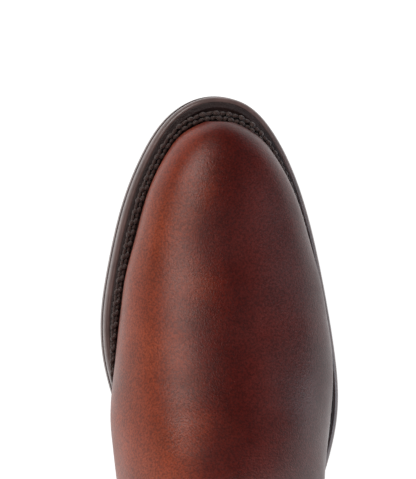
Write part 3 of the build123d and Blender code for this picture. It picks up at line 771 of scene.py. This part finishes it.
WALLS = wall_tree("outsole")
HEEL_FAN, TOE_FAN = HEEL_CENTRE - 0.034, HEEL_CENTRE - 0.262


def outline_hit(x, y, angle):
    """Outline of the sole from a point, at an angle from +X towards the toe."""
    direction = Vector((math.cos(angle), -math.sin(angle), 0))
    origin = Vector((x, y, 0.0123))
    hit = WALLS.ray_cast(origin + direction * 0.2, -direction, 0.3)[0]
    return Vector((hit.x, hit.y))


def half_outline(side):
    """Outline of one side, from the back of the heel to the toe."""
    points = []
    turn = 0 if side > 0 else math.pi
    for k in range(24):
        back = -math.pi / 2 * (1 - k / 24)
        points.append(outline_hit(0.0, HEEL_FAN, back if side > 0 else turn - back))
    for k in range(110):
        points.append(outline_hit(0.0, HEEL_FAN + (TOE_FAN - HEEL_FAN) * k / 109, turn))
    for k in range(1, 40):
        fore = math.pi / 2 * k / 40
        points.append(outline_hit(0.0057 * ease(k, 0, 40), TOE_FAN, fore if side > 0 else turn - fore))
    return points


inner_half, outer_half = half_outline(1), half_outline(-1)
toe_point = outline_hit(0.0057, TOE_FAN, math.pi / 2)
OUTLINE = inner_half + [toe_point] + outer_half[:0:-1]
HALF = len(inner_half)
COUNT = len(OUTLINE)
for _ in range(3):
    OUTLINE = [OUTLINE[i] * 0.5 + (OUTLINE[i - 1] + OUTLINE[(i + 1) % COUNT]) * 0.25 for i in range(COUNT)]
INWARD = []
for i in range(COUNT):
    step = OUTLINE[(i + 1) % COUNT] - OUTLINE[i - 1]
    way = Vector((-step.y, step.x)).normalized()
    spine = Vector((0.0, max(-0.22, min(0.0, OUTLINE[i].y))))
    if way.dot(Vector((0.0, -0.1)) - OUTLINE[i]) < 0 and way.dot(spine - OUTLINE[i]) < 0:
        way = -way
    INWARD.append(way)


def rim(i, inset, lift):
    """Point of the sole's rim, brought in and up."""
    p = OUTLINE[i] + INWARD[i] * inset
    return Vector((p.x, p.y, prof(p.y) + lift))


def band(name, profile, material, nodes=(), test=None):
    """Ring or part ring with a profile of (inset, lift), in millimetres."""
    keep = [i for i in range(COUNT) if test is None or test(OUTLINE[i].y)]
    closed = len(keep) == COUNT
    if not closed:
        gap = next((k for k in range(1, len(keep)) if keep[k] - keep[k - 1] > 1), None)
        keep = keep if gap is None else keep[gap:] + keep[:gap]
    wide = len(profile)
    points, faces = [], []
    for i in keep:
        points += [rim(i, a / 1000, b / 1000) for a, b in profile]
    for k in range(len(keep) if closed else len(keep) - 1):
        j = (k + 1) % len(keep)
        for c in range(wide - 1):
            faces.append([k * wide + c, j * wide + c, j * wide + c + 1, k * wide + c + 1])
    if not closed:
        faces.append(list(range(wide)))
        faces.append(list(range((len(keep) - 1) * wide, len(keep) * wide))[::-1])
    obj = make(name, points, faces, material)
    if nodes:
        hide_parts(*nodes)
    return obj


def waves(low, high, inset, count, depth):
    """Profile of an edge with fine ribs."""
    steps = count * 4
    heights = spread(low, high, steps + 1)
    return [(inset + depth * (1 - math.cos(math.pi * k / 2)) / 2, z) for k, z in enumerate(heights)]


BREAST = HEEL_CENTRE - 0.077
OUTSOLE_FOOT = [(6, -0.05), (2.0, -0.1), (0.5, 0.0), (-0.25, 0.5), (-0.35, 1.2)]
OUTSOLE_PROFILE = OUTSOLE_FOOT + waves(1.6, 5.3, -0.25, 3, 0.12) + [(1.0, 5.5)]
MIDSOLE_FOOT = [(8, 5.5), (0.5, 5.5), (0.15, 5.8)]
MIDSOLE_PROFILE = MIDSOLE_FOOT + waves(6.0, 9.2, 0.15, 3, 0.12) + [(0.7, 9.5), (8, 9.5)]
RIM_PROFILE = [
    (8, 9.5), (0.35, 9.5), (0.15, 9.9), (0.25, 11.0), (0.8, 12.2), (1.7, 12.9), (2.5, 13.05), (2.7, 12.6),
]
band("outsole_edge", OUTSOLE_PROFILE, EDGE)
band("midsole_edge", MIDSOLE_PROFILE, EDGE, ("midsole",))
band("welt_rim", RIM_PROFILE, EDGE, test=lambda y: y < BREAST + 0.002)
WELT_PROFILE = [
    (14, 9.6), (2.4, 9.6), (2.4, 12.9), (2.6, 13.15), (3.4, 13.3), (4.2, 13.2), (4.7, 13.45),
    (5.1, 13.4), (5.5, 12.9), (6.1, 12.45), (7.0, 12.35), (8.0, 12.5), (14, 12.7),
]
band("storm_welt_strip", WELT_PROFILE, WELT, ("storm_welt",), lambda y: y < BREAST + 0.002)
RAND_PROFILE = [(14, 9.5), (0.9, 9.5), (0.5, 9.9), (0.5, 12.2), (1.0, 12.9), (3.0, 13.1), (14, 12.9)]
band("heel_rand_strip", RAND_PROFILE, WELT, ("heel_rand",), lambda y: y > BREAST)


def gap_to_outline(p):
    """Distance in plan from a point to the sole's outline."""
    return min((o - p.xy).length for o in OUTLINE)


def smoothed(values):
    """Row of values, each drawn to its neighbours, with its ends kept."""
    inner = [b * 0.5 + (a + c) * 0.25 for a, b, c in zip(values, values[1:], values[2:])]
    return values[:1] + inner + values[-1:]


def upper_gap(i):
    """Distance in plan from the outline to the upper, at the upper's widest."""
    way = Vector((INWARD[i].x, INWARD[i].y, 0))
    reach = 0.014
    for k in range(1, 9):
        hit = OUTER.ray_cast(rim(i, 0.0, 13.0 / 1000 + 0.002 * k), way, 0.03)
        if hit[0]:
            reach = min(reach, hit[3])
    return reach


rope_rim = [i for i in range(COUNT) if OUTLINE[i].y < BREAST]
gaps = [upper_gap(i) for i in rope_rim]
for _ in range(25):
    gaps = smoothed(gaps)
PITCH = 0.0052
spots = resample([rim(i, g, 0.0) for i, g in zip(rope_rim, gaps)], PITCH / 8)
ways = []
for i in range(len(spots)):
    step = spots[min(i + 4, len(spots) - 1)] - spots[max(i - 4, 0)]
    out = Vector((step.y, -step.x, 0)).normalized()
    if out.dot(spots[i] - Vector((0, max(-0.2, spots[i].y), 0))) < 0:
        out = -out
    ways.append(out)
room = [gap_to_outline(p) for p in spots]


def rope_place(i, off, up):
    """Point beside the upper, off from it and above the welt."""
    i = max(0, min(len(spots) - 1, i))
    share = max(0.0, min(1.0, (room[i] - 0.0035) / 0.0055))
    p = spots[i] + ways[i] * (off * (0.35 + 0.65 * share) - 0.0008 * (1 - share))
    return Vector((p.x, p.y, feather(p.y) + up))


rope_points, rope_faces = [], []
# (first spot, its offset and height, last spot, its offset and height, size, flatness) of each bead
BEADS = [
    (0, 0.0036, 0.0009, 4, 0.0030, 0.0011, 1.0, 1.0), (3, 0.0029, 0.0004, 8, 0.0035, 0.0004, 0.8, 0.9),
    (2, 0.0014, 0.0012, 6, 0.0008, 0.0013, 0.9, 1.0), (6, 0.0008, 0.0006, 10, 0.0015, 0.0006, 0.75, 0.9),
]
for i in range(0, len(spots) - 8, 8):
    share = 0.55 + 0.45 * max(0.0, min(1.0, room[i] / 0.008))
    thread = 0.00112 * (1 + random.uniform(-0.06, 0.06)) * share
    jog = random.uniform(-0.0001, 0.0001)
    for first, off_a, up_a, last, off_b, up_b, part, flat in BEADS:
        head, tail = rope_place(i + first, off_a + jog, up_a), rope_place(i + last, off_b + jog, up_b)
        bead_mesh(rope_points, rope_faces, head, tail, UP, thread * part, flat, 10, 8)
rope = make("braided_rope", rope_points, rope_faces, THREAD)
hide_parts("braided_stitch")

# --- inside ----------------------------------------------------------------------------------
LINER = tree("leg_lining")
lining_first = [(z, along(FRONT_MEDIAL, z) + 0.17) for z in HEIGHTS]
lining_last = [(z, along(BACK_MEDIAL, z) - 0.17) for z in HEIGHTS]
lining_grid = leg_panel_grid(lining_first, lining_last, 120, 70, 0.0, 0.001, LINER, False, low=0.135)
flat = [p for row in lining_grid for p in row]
lining = make("lining_tube", flat, grid_faces(70, 120), TAN)
solid = lining.modifiers.new("thickness", "SOLIDIFY")
solid.thickness = 0.0008
solid.offset = 0

sock = tree("sock_liner")
sock_rows = []
for s in spread(0.012, 0.286, 80):
    y = HEEL_CENTRE - s
    cast = []
    for x in spread(-0.06, 0.06, 121):
        hit = sock.ray_cast(Vector((x, y, 0.2)), Vector((0, 0, -1)), 0.4)[0]
        if hit:
            cast.append(hit)
    if len(cast) > 3:
        left, right = cast[0].x, cast[-1].x
        line = []
        for x in spread(left + 0.0004, right - 0.0004, 25):
            hit = sock.ray_cast(Vector((x, y, 0.2)), -UP, 0.4)[0] or Vector((x, y, feather(y)))
            line.append(hit + Vector((0, 0, 0.0003)))
        sock_rows.append(line)
sock_points = [p for row in sock_rows for p in row]
sock_obj = make("sock_leather", sock_points, grid_faces(len(sock_rows), 25), TAN)
sock_solid = sock_obj.modifiers.new("thickness", "SOLIDIFY")
sock_solid.thickness = 0.0012
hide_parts("sock_liner")


# --- top binding -----------------------------------------------------------------------------
def binding_rows():
    """Rows of a folded strip over the top edge, all round from slot edge to slot edge."""
    outer_low = leg_panel_grid(FRONT_MEDIAL, BACK_MEDIAL, 150, 2, 0.0, 0.0062)[-1]
    columns = []
    for p in outer_low:
        z_top = top_height(p.y)
        centre = leg_centre(p.z)
        way = (p - centre)
        way.z = 0
        way.normalize()
        inner = LINER.ray_cast(Vector((centre.x, centre.y, z_top - 0.006)), way, 0.2)[0]
        thick = min(0.0062, (p.xy - inner.xy).length) if inner else 0.0048
        base = Vector((p.x, p.y, 0)) + way * 0.0005
        shape = [
            (0.0, -0.0062), (0.0007, -0.0060), (0.0009, -0.0052), (0.0009, -0.0010), (0.0004, 0.0002),
            (-0.0008, 0.0008), (-thick * 0.5, 0.0010), (-thick + 0.0008, 0.0008), (-thick - 0.0004, 0.0001),
            (-thick - 0.0008, -0.0012), (-thick - 0.0008, -0.0062), (-thick, -0.0066),
        ]
        columns.append([base + way * a + Vector((0, 0, z_top + b - 0.0004)) for a, b in shape])
    return [list(row) for row in zip(*columns)]


rows = binding_rows()
rows = relax(rows, 1)
wide = len(rows[0])
ends = [[k * wide for k in range(len(rows))], [k * wide + wide - 1 for k in range(len(rows))]]
bind_faces = grid_faces(len(rows), wide) + ends
bind = make("binding_strip", [p for row in rows for p in row], bind_faces, TRIM)
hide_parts("top_binding")


# --- overlays and straps ---------------------------------------------------------------------
def overlay(name, node, cells, start, way):
    """Raised strip from the outer face of a node."""
    bvh = tree(node)
    grid = [[bvh.ray_cast(start(a, b), way, 0.3)[0] for b in cells[1]] for a in cells[0]]
    kept = [row for row in grid if all(p is not None for p in row)]
    panel(name, relax(kept, 3), 0.0016, MIDDLE, CALF, (node,), lift=0.0003)
    return kept


side_cells = (spread(0.0805, 0.2995, 80), spread(-0.0249, -0.0111, 9))
side_rows = overlay("side_strip_leather", "side_strip", side_cells,
                    lambda z, y: Vector((-0.2, y, z)), Vector((1, 0, 0)))
stay_cells = (spread(0.1015, 0.3835, 100), spread(-0.0078, 0.0078, 11))
stay_rows = overlay("back_stay_leather", "back_stay", stay_cells,
                    lambda z, x: Vector((x, 0.2, z)), Vector((0, -1, 0)))


def strip_seam(name, path, n, pitch=0.0032):
    """Stitches that lie on a strip."""
    points, faces = [], []
    places = resample(path, pitch)
    for a, b in zip(places, places[1:]):
        above = n * 0.0005
        bead_mesh(points, faces, a.lerp(b, 0.12) + above, a.lerp(b, 0.88) + above, n, 0.00034, 0.8, 6, 4)
    return make(name, points, faces, SEAM)


for index, c in enumerate((1, -2)):
    strip_seam(f"side_strip_seam_{index}", [row[c] for row in side_rows], Vector((-1, 0, 0)))
    strip_seam(f"back_stay_seam_{index}", [row[c] for row in stay_rows], Vector((0, 1, 0)))


def wrap(arc, height):
    """Horizontal place at an arc round the calf towards the toe and a height off it, in millimetres."""
    turn = arc / 66.0
    reach = 66.0 + height
    return Vector(((8.55 - reach * math.cos(turn)) / 1000, (-16.7 - reach * math.sin(turn)) / 1000, 0))


def blended(t, a, b, c, d):
    """Catmull-Rom value between b and c."""
    square = (2 * a - 5 * b + 4 * c - d) * t * t
    return 0.5 * (2 * b + (c - a) * t + square + (3 * b - a - 3 * c + d) * t ** 3)


def smooth_path(path, step=1.0):
    """Catmull-Rom samples of a path of pairs."""
    result = []
    for i in range(len(path) - 1):
        p0, p1, p2, p3 = path[max(i - 1, 0)], path[i], path[i + 1], path[min(i + 2, len(path) - 1)]
        count = max(1, int(math.hypot(p2[0] - p1[0], p2[1] - p1[1]) / step))
        for k in range(count):
            t = k / count
            result.append(tuple(blended(t, *four) for four in zip(p0, p1, p2, p3)))
    return result + [path[-1]]


def ribbon(name, lines, material, thick, nodes=(), skip=None):
    """Strap from rows of points, thickened and rounded; skip leaves cells open."""
    rows, columns = len(lines), len(lines[0])
    points = [p for line in lines for p in line]
    faces = []
    for face in grid_faces(rows, columns):
        if not (skip and skip((points[face[0]] + points[face[2]]) / 2, face[0] // columns)):
            faces.append(face)
    obj = make(name, points, faces, material)
    thickness = obj.modifiers.new("thickness", "SOLIDIFY")
    thickness.thickness = thick
    thickness.offset = 0
    edges = obj.modifiers.new("edges", "BEVEL")
    edges.width = thick * 0.28
    edges.segments = 2
    edges.limit_method = "ANGLE"
    if nodes:
        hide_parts(*nodes)
    return obj


def strap_lines(path, low=0.3525, high=0.3715, columns=20):
    """Rows of points across a strap along its path."""
    lines = []
    for arc, height in smooth_path(path, 0.8):
        p = wrap(arc, height)
        lines.append([Vector((p.x, p.y, z)) for z in spread(low, high, columns)])
    return lines


BILLET = [(50, 0.95), (40, 0.95), (30, 0.95), (20, 0.95), (13, 0.95), (9, 1.0), (4, 2.6), (-2, 5.2),
          (-8, 6.95), (-14, 6.0), (-20, 4.5), (-26, 3.4), (-32, 3.0), (-40, 2.8), (-50, 2.7)]
billet_path = smooth_path(BILLET, 0.8)


def billet_skip(p, r):
    arc = billet_path[r][0]
    if -8.5 < arc < 1.5 and abs(p.z - 0.362) < 0.0016:
        return True
    return any(math.hypot(arc - hole, (p.z - 0.362) * 1000) < 1.3 for hole in (22.0, 34.0, -43.0))


billet_lines = strap_lines(BILLET)
ribbon("billet_leather", billet_lines, TRIM, 0.0015, ("strap_billet",), billet_skip)
CHAPE = [
    (-58, 1.0), (-45, 1.0), (-32, 1.0), (-20, 1.0), (-12, 1.0), (-8, 0.85), (-5.6, 1.7), (-5.1, 3.0),
    (-6.0, 4.6), (-8, 5.1), (-12, 3.9), (-17, 2.6),
]
chape_path = smooth_path(CHAPE, 0.8)
ribbon("chape_leather", strap_lines(CHAPE), TRIM, 0.0013, ("strap_chape",),
       lambda p, r: -13 < chape_path[r][0] < -4 and abs(p.z - 0.362) < 0.0016)
KEEPER = [
    (350.9, 0.3), (350.9, 2.0), (350.9, 4.6), (351.4, 5.0), (362, 5.1), (372.6, 5.0), (373.1, 4.6),
    (373.1, 2.0), (373.1, 0.3),
]
keeper = []
for z, height in smooth_path(KEEPER, 0.7):
    line = []
    for arc in spread(-35.3, -28.7, 8):
        p = wrap(arc, height)
        line.append(Vector((p.x, p.y, z / 1000)))
    keeper.append(line)
ribbon("keeper_leather", keeper, TRIM, 0.0013, ("strap_keeper",))
PULL_LOOP = [
    (39.2, 357), (39.0, 375), (38.8, 395), (38.9, 407), (38.4, 411), (36.8, 412.2), (35.2, 411),
    (34.7, 407), (34.8, 395), (34.8, 375), (34.8, 357),
]
loop_lines = []
for y, z in smooth_path(PULL_LOOP, 1.5):
    loop_lines.append([Vector((x, y / 1000, z / 1000)) for x in spread(-0.0098, 0.0098, 15)])
ribbon("pull_loop_web", loop_lines, WEB, 0.0015, ("back_pull_loop",))

LEAN = math.radians(3.25)


def zip_place(across, up, out):
    """Point in the zip's plane, in metres."""
    way_up = Vector((math.sin(LEAN), 0, math.cos(LEAN)))
    way_out = Vector((math.cos(LEAN), 0, -math.sin(LEAN)))
    return Vector((0.0412, SEAM_Y + across, 0.118)) + way_up * up + way_out * out


for label, sign in (("front", -1), ("back", 1)):
    lines = []
    for up in spread(-0.0, 0.2748, 200):
        sway = 0.00012 * math.sin(up * 900 + sign)
        lines.append([
            zip_place(sign * a, up, -0.0042 + sway * math.sin(math.pi * (a - 0.003) / 0.01))
            for a in spread(0.0031, 0.0129, 8)
        ])
    ribbon(f"zip_tape_cloth_{label}", lines, TAPE, 0.0007, (f"zip_tape_{label}",))

# --- seams -----------------------------------------------------------------------------------
for index, r in enumerate((1, 2)):
    seam(f"front_low_seam_{index}", front_grid[r][1:-1], MID_FOOT, above=0.0007)
    seam(f"back_low_seam_{index}", back_grid[r][1:-1], MIDDLE, above=0.0007)
seam("front_zip_seam", [row[1] for row in front_grid if row[1].z > 0.123], MIDDLE, above=0.0007)
seam("back_zip_seam", [row[-2] for row in back_grid if row[-2].z > 0.123], MIDDLE, above=0.0007)

# --- CAD pieces that stay ----------------------------------------------------------------------
STAYING = {
    "outsole": RUBBER, "heel_top_piece": RUBBER, "heel_lift_1": STACK, "heel_lift_2": STACK,
    "heel_lift_3": STACK, "heel_nails": STEEL, "steel_shank": STEEL, "zip_bottom_stop": BRASS,
    "zip_top_stops": BRASS, "zip_slider": BRASS, "zip_puller": BRASS, "zip_teeth_front": BRASS,
    "zip_teeth_back": BRASS, "strap_rivets": BRASS, "buckle_frame": BRASS, "buckle_roller": BRASS,
    "buckle_prong": BRASS, "leg_lining": TAN, "vamp_lining": TAN,
    "insole": TAN, "gemming_rib": TAN, "cork_filler": STACK,
}
for name, material in STAYING.items():
    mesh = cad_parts[name].data
    mesh.materials.clear()
    mesh.materials.append(material)

# --- stage, light and camera -------------------------------------------------------------------
white = bpy.data.materials.new("white_floor")
white.use_nodes = True
floor_bsdf = next(n for n in white.node_tree.nodes if n.type == "BSDF_PRINCIPLED")
floor_bsdf.inputs["Base Color"].default_value = (0.25, 0.25, 0.25, 1)
floor_bsdf.inputs["Roughness"].default_value = 1.0
floor_bsdf.inputs["Emission Color"].default_value = (1, 1, 1, 1)
floor_bsdf.inputs["Emission Strength"].default_value = 0.98
floor_mesh = bpy.data.meshes.new("floor")
FLOOR_HALF, FLOOR_Z = 6.0, -0.0005
corners = [(x * FLOOR_HALF, y * FLOOR_HALF, FLOOR_Z) for x, y in ((-1, -1), (1, -1), (1, 1), (-1, 1))]
floor_mesh.from_pydata(corners, [], [(0, 1, 2, 3)])
floor_mesh.materials.append(white)
floor = bpy.data.objects.new("floor", floor_mesh)
bpy.context.scene.collection.objects.link(floor)

world = bpy.data.worlds.new("studio")
world.use_nodes = True
world.node_tree.nodes["Background"].inputs[0].default_value = (0.92, 0.95, 1.0, 1)
world.node_tree.nodes["Background"].inputs[1].default_value = 0.10
bpy.context.scene.world = world


def lamp(name, place, target, size_x, size_y, power, colour):
    """Rectangular soft light."""
    data = bpy.data.lights.new(name, "AREA")
    data.shape = "RECTANGLE"
    data.size, data.size_y = size_x, size_y
    data.energy = power
    data.color = colour
    obj = bpy.data.objects.new(name, data)
    obj.location = place
    obj.rotation_euler = (Vector(target) - Vector(place)).to_track_quat("-Z", "Y").to_euler()
    bpy.context.scene.collection.objects.link(obj)


lamp("key", (0.75, -0.75, 1.0), (0.0, -0.18, 0.04), 0.7, 0.7, 8.5, (1.0, 0.96, 0.92))
lamp("cool_side", (-0.9, -0.15, 0.45), (-0.03, -0.17, 0.03), 0.22, 1.1, 3.0, (0.82, 0.9, 1.0))
lamp("top", (0.1, 0.35, 1.3), (0.0, -0.1, 0.1), 0.8, 0.5, 1.2, (1.0, 0.98, 0.96))

scene = bpy.context.scene
scene.view_settings.view_transform = "Standard"
camera_data = bpy.data.cameras.new("camera")
camera_data.sensor_fit = "VERTICAL"
DISTANCE = 1.2
camera_data.sensor_height = 24
camera_data.lens = 24 * DISTANCE / 0.2145
camera = bpy.data.objects.new("camera", camera_data)
scene.collection.objects.link(camera)
target = Vector((0.0071, -0.2043, 0.012))
tilt = math.radians(8.0)
back = Vector((math.sin(tilt), 0.0, math.cos(tilt)))
camera.location = target + back * DISTANCE
turn = math.radians(2.5)
up = Vector((math.sin(turn), -math.cos(turn), 0))
right = up.cross(back).normalized()
up = back.cross(right)
camera.matrix_world = Matrix((
    (right.x, up.x, back.x, camera.location.x), (right.y, up.y, back.y, camera.location.y),
    (right.z, up.z, back.z, camera.location.z), (0, 0, 0, 1)))
scene.camera = camera
